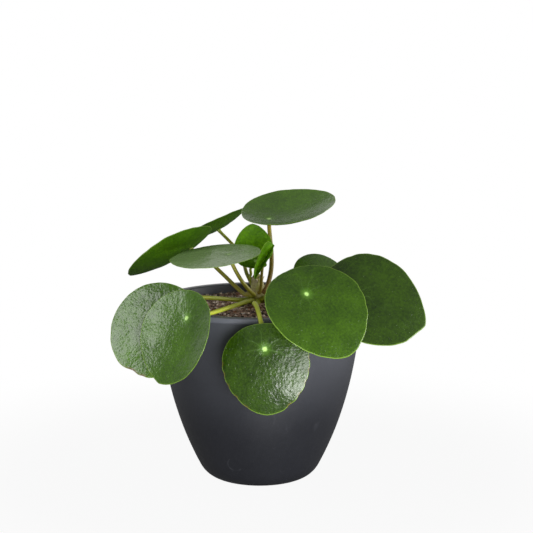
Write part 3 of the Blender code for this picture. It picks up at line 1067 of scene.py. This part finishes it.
def makeBark(colours):
    finish, tree, shader = newFinish("stemBark")
    spot = place(tree)
    patches = mottled(tree, spot, 190.0, 900.0, 0.45, 2.4)
    colour = blendColours(tree, patches, colours["dark"], colours["light"])
    olive = times(tree, ramp(tree, cloud(tree, spot, 150.0), 0.46, 0.62), 0.75)
    colour = blendColours(tree, olive, colour, colours["olive"])
    low = ramp(tree, split(tree, spot)["Z"], stemLow.z + 2.0 * mm, stemLow.z + 6.5 * mm, 0.9, 0.0)
    paint(tree, shader, blendColours(tree, low, colour, colours["foot"]))
    polish(tree, shader, patches, 0.6, 0.85)
    bump(tree, shader, cloud(tree, spot, 800.0, 4.0, 0.6), 0.0003)
    return finish


def stemLumps(spot, settings):
    # how far the bark stands out at a spot, both in mm

    def distance(angle, height):
        turn, radius = math.radians(angle), settings["radius"]
        return (Vector((math.cos(turn) * radius, math.sin(turn) * radius, height)) - spot).length

    push = (noise.noise(spot * 0.42) + noise.noise(spot * 1.3) * 0.4) * settings["knobs"]
    for angle, height in settings["scars"]:
        ring = distance(angle, height) / settings["scarSize"]
        push += 0.9 * math.exp(-ring**2) - 1.1 * math.exp(-((ring * 2.4) ** 2))
    for angle, height, stand in settings["buds"]:
        push += stand * math.exp(-((distance(angle, height) / settings["budSize"]) ** 2))
    return push


def makeStem(settings):
    bm = turnedShape([(across * mm, high * mm) for across, high in settings["outline"]], settings["sides"])
    bmesh.ops.subdivide_edges(bm, edges=bm.edges, cuts=1, use_grid_fill=True)
    for vert in bm.verts:
        away = Vector((vert.co.x, vert.co.y, 0.0)).normalized()
        vert.co += away * stemLumps(vert.co / mm, settings) * mm
        vert.co += Vector((stemAxis.x, stemAxis.y, stemLow.z))
    stem = newPiece("woodyStem", meshFrom("woodyStem", bm), makeBark(stemColours))
    settle(stem, "stem", "stem")


def makePaper(settings):
    finish, tree, shader = newFinish("papery")
    spot = place(tree)
    patches = mottled(tree, spot, 260.0, 1500.0, 0.4, 2.2)
    paint(tree, shader, blendColours(tree, patches, settings["dark"], settings["light"]))
    polish(tree, shader, patches, 0.55, 0.8)
    bump(tree, shader, cloud(tree, spot, 1800.0), 0.0001)
    return finish


def makeScales(settings):
    finish = makePaper(settings)
    steps, columns = settings["steps"], settings["columns"]
    for number, (angle, height, length, width, lean) in enumerate(settings["scales"], start=1):
        turn = math.radians(angle)
        away = Vector((math.cos(turn), math.sin(turn), 0.0))
        side = Vector((-away.y, away.x, 0.0))
        rise = Vector((0, 0, 1)) * math.cos(math.radians(lean)) + away * math.sin(math.radians(lean))
        foot = Vector((stemAxis.x, stemAxis.y, stemLow.z + height * mm)) + away * settings["radius"] * mm
        bm = bmesh.new()
        rows = []
        for i in range(steps + 1):
            t = i / steps
            wide = width * mm * 0.5 * (math.sin(math.pi * min(1.0, 0.22 + t * 0.78)) ** 0.7 if t < 1 else 0.0)
            row = []
            for j in range(columns + 1):
                s = j / columns * 2 - 1
                curl = (0.35 * s * s - 0.25 * t * t) * width * mm * 0.5
                crease = noise.noise(Vector((s * 2.0, t * 3.0, number * 5.0))) * 0.25 * mm
                row.append(bm.verts.new(foot + rise * t * length * mm + side * s * wide - away * (curl + crease)))
            rows.append(row)
        for i in range(steps):
            for j in range(columns):
                bm.faces.new((rows[i][j], rows[i][j + 1], rows[i + 1][j + 1], rows[i + 1][j]))
        bmesh.ops.remove_doubles(bm, verts=bm.verts, dist=mergeDistance)
        scale = newPiece(f"stipuleScale_{number}", meshFrom(f"stipuleScale_{number}", bm), finish)
        skin = scale.modifiers.new("thickness", "SOLIDIFY")
        skin.thickness = settings["thickness"] * mm
        skin.offset = 0.0
        settle(scale, "stipule", *([f"stipule_{number}"] if number <= 3 else []))


makeStem(stemSettings)
makeScales(scaleSettings)
print("stem and scales ready")


# pot

# lengths in mm
potSettings = dict(
    sides=160,
    wall=7.0,
    floor=7.0,
    floorCorner=6.0,
    lipHeight=3.8,
    lipProud=0.9,
    lipEdge=1.0,
    innerEdge=1.6,
    innerLip=0.6,
    underEdge=0.5,
    footRadius=30.0,
    cornerTop=(48.8, 11.3),
    wallBelly=(77.3, 66.0),
    footBelly=(43.0, 0.2),
)
potColours = dict(
    dark=(0.0068, 0.0074, 0.0108),
    light=(0.0130, 0.0140, 0.0190),
    scuff=(0.070, 0.073, 0.085),
    speck=(0.22, 0.21, 0.20),
    # rim: a painted highlight, the paler colour of the lip band where it catches the light
    rim=(0.140, 0.148, 0.175),
    # upper: painted light, the colour the pot is made lighter with towards its top, where more light falls
    upper=(0.084, 0.089, 0.106),
)
potMarks = dict(
    # upper: how strongly the painted light towards the pot's top shows
    upper=0.75,
    scuffs=0.30,
    specks=(95.0, 0.085, 0.16),  # scale, size and share
    speckStrength=0.6,
    scratch=dict(centre=(-19.0 * mm, 0.0, 23.0 * mm), radius=6.0 * mm, width=0.6 * mm),
)


def bent(start, lean, end, steps):
    # a curve from start to end that leans towards a third point
    points = []
    for step in range(steps + 1):
        t = step / steps
        points.append(tuple((1 - t) ** 2 * a + 2 * t * (1 - t) * b + t * t * c for a, b, c in zip(start, lean, end)))
    return points


def rounded(centre, radius, first, last, steps):
    points = []
    for step in range(steps + 1):
        angle = math.radians(first + (last - first) * step / steps)
        points.append((centre[0] + radius * math.cos(angle), centre[1] + radius * math.sin(angle)))
    return points


def scratchMask(tree, spot, scratch):
    # half of a faint circle on the pot's front
    x, y, z = split(tree, spot)
    arm = vectorCalc(tree, "SUBTRACT", joined(tree, x, z=z), scratch["centre"])
    line = calc(tree, "ABSOLUTE", minus(tree, vectorCalc(tree, "LENGTH", arm), scratch["radius"]))
    line = ramp(tree, line, 0.0, scratch["width"], 1.0, 0.0)
    sides = split(tree, arm)
    line = times(tree, line, calc(tree, "LESS_THAN", plus(tree, sides["X"], sides["Z"]), 0.0))
    line = times(tree, line, calc(tree, "LESS_THAN", y, 0.0))
    return times(tree, line, ramp(tree, cloud(tree, spot, 260.0), 0.35, 0.6, 0.1, 0.5))


def makePotFinish(colours, marks):
    finish, tree, shader = newFinish("slateGlaze", Specular_IOR_Level=0.6)
    spot = place(tree)
    height = split(tree, spot)["Z"]
    patches = mottled(tree, spot, 14.0, 220.0, 0.35, 1.8)
    colour = blendColours(tree, patches, colours["dark"], colours["light"])
    # painted light: the pot is made lighter towards its top, as if more light fell there
    paintedTopLight = times(tree, ramp(tree, height, potHigh.z * 0.3, potHigh.z), marks["upper"])
    colour = blendColours(tree, paintedTopLight, colour, colours["upper"])
    squeezed = add(tree, "ShaderNodeMapping", {"Vector": spot, "Scale": (1.0, 1.0, 0.22)}).outputs[0]
    scuffs = ramp(tree, cloud(tree, squeezed, 90.0, 4.0, 0.7, 1.2), 0.62, 0.78)
    scuffs = times(tree, scuffs, ramp(tree, cloud(tree, spot, 18.0), 0.48, 0.62))
    colour = blendColours(tree, times(tree, scuffs, marks["scuffs"]), colour, colours["scuff"])
    specks = times(tree, flecked(tree, spot, *marks["specks"]), marks["speckStrength"])
    colour = blendColours(tree, specks, colour, colours["speck"])
    fromAxis = vectorCalc(tree, "LENGTH", vectorCalc(tree, "MULTIPLY", spot, (1.0, 1.0, 0.0)))
    # painted highlight on the lip band, broken up by the patches
    paintedLipHighlight = ramp(tree, height, potHigh.z - 5.0 * mm, potHigh.z - 4.0 * mm)
    paintedLipHighlight = times(tree, paintedLipHighlight, ramp(tree, fromAxis, potHigh.x - 7.0 * mm, potHigh.x - 3.0 * mm))
    paintedLipHighlight = times(tree, paintedLipHighlight, ramp(tree, patches, 0.1, 0.9, 0.45, 0.85))
    colour = blendColours(tree, paintedLipHighlight, colour, colours["rim"])
    scratch = scratchMask(tree, spot, marks["scratch"])
    paint(tree, shader, blendColours(tree, scratch, colour, colours["scuff"]))
    polish(tree, shader, mottled(tree, spot, 30.0, 300.0), 0.40, 0.50)
    waves = times(tree, cloud(tree, spot, 60.0), 2.0)
    bump(tree, shader, plus(tree, cloud(tree, spot, 900.0, 3.0, 0.6), waves), 0.00008, 0.7)
    return finish


def potOutline(settings):
    # from the middle of the floor, up the inside, over the rim and down the outside
    radius, top = potHigh.x / mm, potHigh.z / mm
    wall, floor = settings["wall"], settings["floor"]
    lipEdge, innerEdge, underEdge = settings["lipEdge"], settings["innerEdge"], settings["underEdge"]
    underLip = (radius - settings["lipProud"], top - settings["lipHeight"] - settings["lipProud"])
    side = bent(underLip, settings["wallBelly"], settings["cornerTop"], 40)
    side += bent(settings["cornerTop"], settings["footBelly"], (settings["footRadius"], 0.0), 14)[1:]
    inside = []
    for i, (across, high) in enumerate(side):
        before, after = side[max(i - 1, 0)], side[min(i + 1, len(side) - 1)]
        run = Vector((after[0] - before[0], after[1] - before[1])).normalized()
        across, high = across + run.y * wall, high - run.x * wall
        if floor + 0.5 < high < top - 7.0:
            inside.append((across, high))
    innerRim = radius - wall - settings["innerLip"]
    outline = [(0.0, floor), (inside[-1][0] - settings["floorCorner"], floor)]
    outline += inside[::-1]
    outline += rounded((innerRim + innerEdge, top - innerEdge), innerEdge, 180, 90, 6)
    outline += rounded((radius - lipEdge, top - lipEdge), lipEdge, 90, 0, 6)
    outline += rounded((radius - underEdge, top - settings["lipHeight"] + 0.4), underEdge, 0, -80, 4)
    outline += [(underLip[0] - 0.1, underLip[1] + 0.55), (underLip[0] - 0.25, underLip[1] + 0.1)]
    return outline + side[1:] + [(0.0, 0.0)]


def makePot(settings):
    bm = turnedShape([(across * mm, high * mm) for across, high in potOutline(settings)], settings["sides"])
    pot = newPiece("slatePot", meshFrom("slatePot", bm), makePotFinish(potColours, potMarks))
    settle(pot, "pot", "pot")


makePot(potSettings)
print("pot ready")


# soil

# lengths in mm
bedSettings = dict(
    sides=120,
    rings=30,
    edgeDrop=2.5,  # the edge lies lower than the crown
    wallGap=1.1,
    roughness=1.1,
    depth=18.0,
    footShare=0.97,  # how wide its foot is, as a part of its top
    # dark and light: partly the peat's own dark brown, partly painted shade, made near black so the gaps between the
    # crumbs look shaded
    dark=(0.006, 0.004, 0.003),
    light=(0.045, 0.025, 0.016),
)
soilShapes = dict(
    crumbs=dict(density=150000.0, smallest=0.5, largest=1.9, squash=0.8, sink=0.1, rough=0.5),
    clods=dict(density=36000.0, smallest=1.3, largest=3.0, squash=0.7, sink=0.0, rough=0.8),
    bark=dict(density=4500.0, smallest=2.2, largest=4.6, squash=0.35, sink=0.1, rough=0.8, finer=2),
    perlite=dict(density=5200.0, smallest=0.8, largest=1.7, squash=0.85, sink=0.2, rough=0.5),
    fibres=dict(density=14000.0, smallest=2.6, largest=6.0),
)
soilFinishes = dict(
    crumbs=dict(
        name="peatCrumbs", dark=(0.020, 0.009, 0.006), light=(0.60, 0.39, 0.30), roughness=0.85,
        patchScale=210.0, accent=(0.92, 0.76, 0.64),
    ),
    clods=dict(
        name="peatClods", dark=(0.018, 0.008, 0.005), light=(0.62, 0.40, 0.30), roughness=0.85,
        patchScale=150.0, accent=(0.90, 0.74, 0.62),
    ),
    bark=dict(
        name="barkChips", dark=(0.070, 0.026, 0.012), light=(0.30, 0.12, 0.05), roughness=0.75, patchScale=110.0,
    ),
    perlite=dict(
        name="perliteGrains", dark=(0.55, 0.50, 0.45), light=(0.80, 0.76, 0.70), roughness=0.8, patchScale=400.0,
    ),
    fibres=dict(
        name="coirFibres", dark=(0.20, 0.12, 0.06), light=(0.42, 0.29, 0.18), roughness=0.8, patchScale=90.0,
    ),
)


def makePeat(dark, light):
    finish, tree, shader = newFinish("peatWithGapShade")
    spot = place(tree)
    patches = mottled(tree, spot, 120.0, 700.0, 0.5, 2.6)
    # the bed shows in the gaps between the crumbs: its colour is partly the peat's own, partly painted shade
    paint(tree, shader, blendColours(tree, patches, dark, light))
    polish(tree, shader, patches, 0.85, 0.97)
    bump(tree, shader, cloud(tree, spot, 600.0, 4.0, 0.7), 0.0008)
    return finish


def makeBed(settings):
    # a lumpy crown, and a plain foot that is hidden in the pot
    rings = settings["rings"]
    radius = potHigh.x - (potSettings["wall"] + settings["wallGap"]) * mm
    low = -settings["depth"] * mm
    crown = [(radius * i / rings, 0.0) for i in range(rings + 1)]
    bm = turnedShape([*crown, (radius * settings["footShare"], low), (0.0, low)], settings["sides"])
    for vert in bm.verts:
        if vert.co.z == 0:
            share = vert.co.length / (potHigh.x - potSettings["wall"] * mm)
            lump = noise.noise(vert.co / mm * 0.16) + 0.6 * noise.noise(vert.co / mm * 0.5)
            vert.co.z = (lump * settings["roughness"] - settings["edgeDrop"] * share**2) * mm
        vert.co.z += soilHigh.z
    finish = makePeat(settings["dark"], settings["light"])
    bed = newPiece("soilBed", meshFrom("soilBed", bm), finish)
    settle(bed, "soil", "soil")
    return bed


def scatterPoints(tree, start, tilt):
    # points on the faces that look up, and a turn and a size for each
    seed = start["Seed"]
    facing = split(tree, add(tree, "GeometryNodeInputNormal").outputs[0])["Z"]
    upper = add(
        tree, "FunctionNodeCompare", {0: facing, 1: 0.5}, operation="GREATER_THAN", data_type="FLOAT"
    ).outputs[0]
    points = add(
        tree, "GeometryNodeDistributePointsOnFaces",
        {"Mesh": start["Geometry"], "Selection": upper, "Density": start["Density"], "Seed": seed},
    ).outputs[0]
    turn = add(
        tree, "FunctionNodeRandomValue", {0: (-tilt, -tilt, 0.0), 1: (tilt, tilt, 6.283), "Seed": seed},
        data_type="FLOAT_VECTOR",
    ).outputs[0]
    size = add(
        tree, "FunctionNodeRandomValue", {2: start["Smallest"], 3: start["Largest"], "Seed": seed},
        data_type="FLOAT",
    ).outputs[1]
    return points, turn, size


def copiesOn(tree, points, shape, turn, size):
    copies = add(
        tree, "GeometryNodeInstanceOnPoints",
        {"Points": points, "Instance": shape, "Rotation": turn, "Scale": size},
    ).outputs[0]
    return add(tree, "GeometryNodeRealizeInstances", {0: copies}).outputs[0]


def makeScatter():
    # lumps on a surface, each turned, stretched and roughened its own way
    tree, start, close = newShapeTree(
        "soilScatter",
        [("Density", "Float", 1000.0), ("Smallest", "Float", 1.0), ("Largest", "Float", 2.0),
         ("Squash", "Float", 0.8), ("Sink", "Float", 0.1), ("Roughening", "Float", 0.4), ("Finer", "Int", 1),
         ("Seed", "Int", 0)],
    )
    points, turn, size = scatterPoints(tree, start, 0.5)
    lump = add(tree, "GeometryNodeMeshIcoSphere", {"Radius": mm, "Subdivisions": start["Finer"]}).outputs[0]
    lump = add(tree, "GeometryNodeTransform", {0: lump, "Scale": (1.0, 0.72, 1.0)}).outputs[0]
    shape = joined(tree, size, size, times(tree, size, start["Squash"]))
    lumps = copiesOn(tree, points, lump, turn, shape)
    spot = add(tree, "GeometryNodeInputPosition").outputs[0]
    rough = add(tree, "ShaderNodeTexNoise", {"Vector": spot, "Scale": 420.0, "Detail": 1.0}).outputs["Color"]
    rough = vectorCalc(tree, "SUBTRACT", rough, (0.5, 0.5, 0.5))
    shift = scaled(tree, rough, times(tree, start["Roughening"], 3.0 * mm))
    drop = joined(tree, z=times(tree, start["Sink"], -mm))
    offset = vectorCalc(tree, "ADD", shift, drop)
    close(add(tree, "GeometryNodeSetPosition", {0: lumps, "Offset": offset}).outputs[0])
    return tree


def makeFibreScatter():
    # short bent fibres that lie on a surface
    tree, start, close = newShapeTree(
        "fibreScatter",
        [("Density", "Float", 1000.0), ("Smallest", "Float", 2.0), ("Largest", "Float", 6.0),
         ("Thickness", "Float", 0.12), ("Seed", "Int", 0)],
    )
    points, turn, size = scatterPoints(tree, start, 0.35)
    strand = add(
        tree, "GeometryNodeCurvePrimitiveBezierSegment",
        {"Resolution": 5, "Start": (-0.5 * mm, 0.0, 0.0), "Start Handle": (-0.2 * mm, 0.25 * mm, 0.3 * mm),
         "End Handle": (0.2 * mm, -0.2 * mm, 0.35 * mm), "End": (0.5 * mm, 0.1 * mm, 0.1 * mm)},
    ).outputs[0]
    strands = copiesOn(tree, points, strand, turn, size)
    lifted = add(tree, "GeometryNodeSetPosition", {0: strands, "Offset": (0.0, 0.0, 1.3 * mm)}).outputs[0]
    ring = add(tree, "GeometryNodeCurvePrimitiveCircle", {"Resolution": 4, "Radius": mm}).outputs[0]
    close(add(
        tree, "GeometryNodeCurveToMesh", {0: lifted, 1: ring, "Scale": start["Thickness"], "Fill Caps": True}
    ).outputs[0])
    return tree


def makeLumpFinish(name, dark, light, roughness, patchScale, accent=None):
    finish, tree, shader = newFinish(name)
    spot = place(tree)
    patches = mottled(tree, spot, patchScale, 1500.0, 0.35, 3.0)
    colour = blendColours(tree, patches, dark, light)
    if accent:
        chosen = ramp(tree, cloud(tree, spot, patchScale * 0.8), 0.56, 0.64)
        colour = blendColours(tree, chosen, colour, accent)
    paint(tree, shader, colour)
    polish(tree, shader, patches, roughness, roughness + 0.1)
    bump(tree, shader, cloud(tree, spot, 2200.0, 3.0), 0.0002)
    return finish


def makeSoil():
    bed = makeBed(bedSettings)
    scatter, fibreScatter = makeScatter(), makeFibreScatter()
    for seed, (label, shape) in enumerate(soilShapes.items(), start=3):
        values = {
            "Density": shape["density"],
            "Smallest": shape["smallest"],
            "Largest": shape["largest"],
            "Seed": seed,
            "Finish": makeLumpFinish(**soilFinishes[label]),
        }
        if label != "fibres":
            values.update({
                "Squash": shape["squash"],
                "Sink": shape["sink"],
                "Roughening": shape["rough"],
                "Finer": shape.get("finer", 1),
            })
        piece = newPiece("soil_" + label, bed.data.copy())
        piece = grow(piece, fibreScatter if label == "fibres" else scatter, values)
        settle(piece, "soil")
        print("  soil", label, len(piece.data.polygons), "faces")


makeSoil()
print("soil ready")
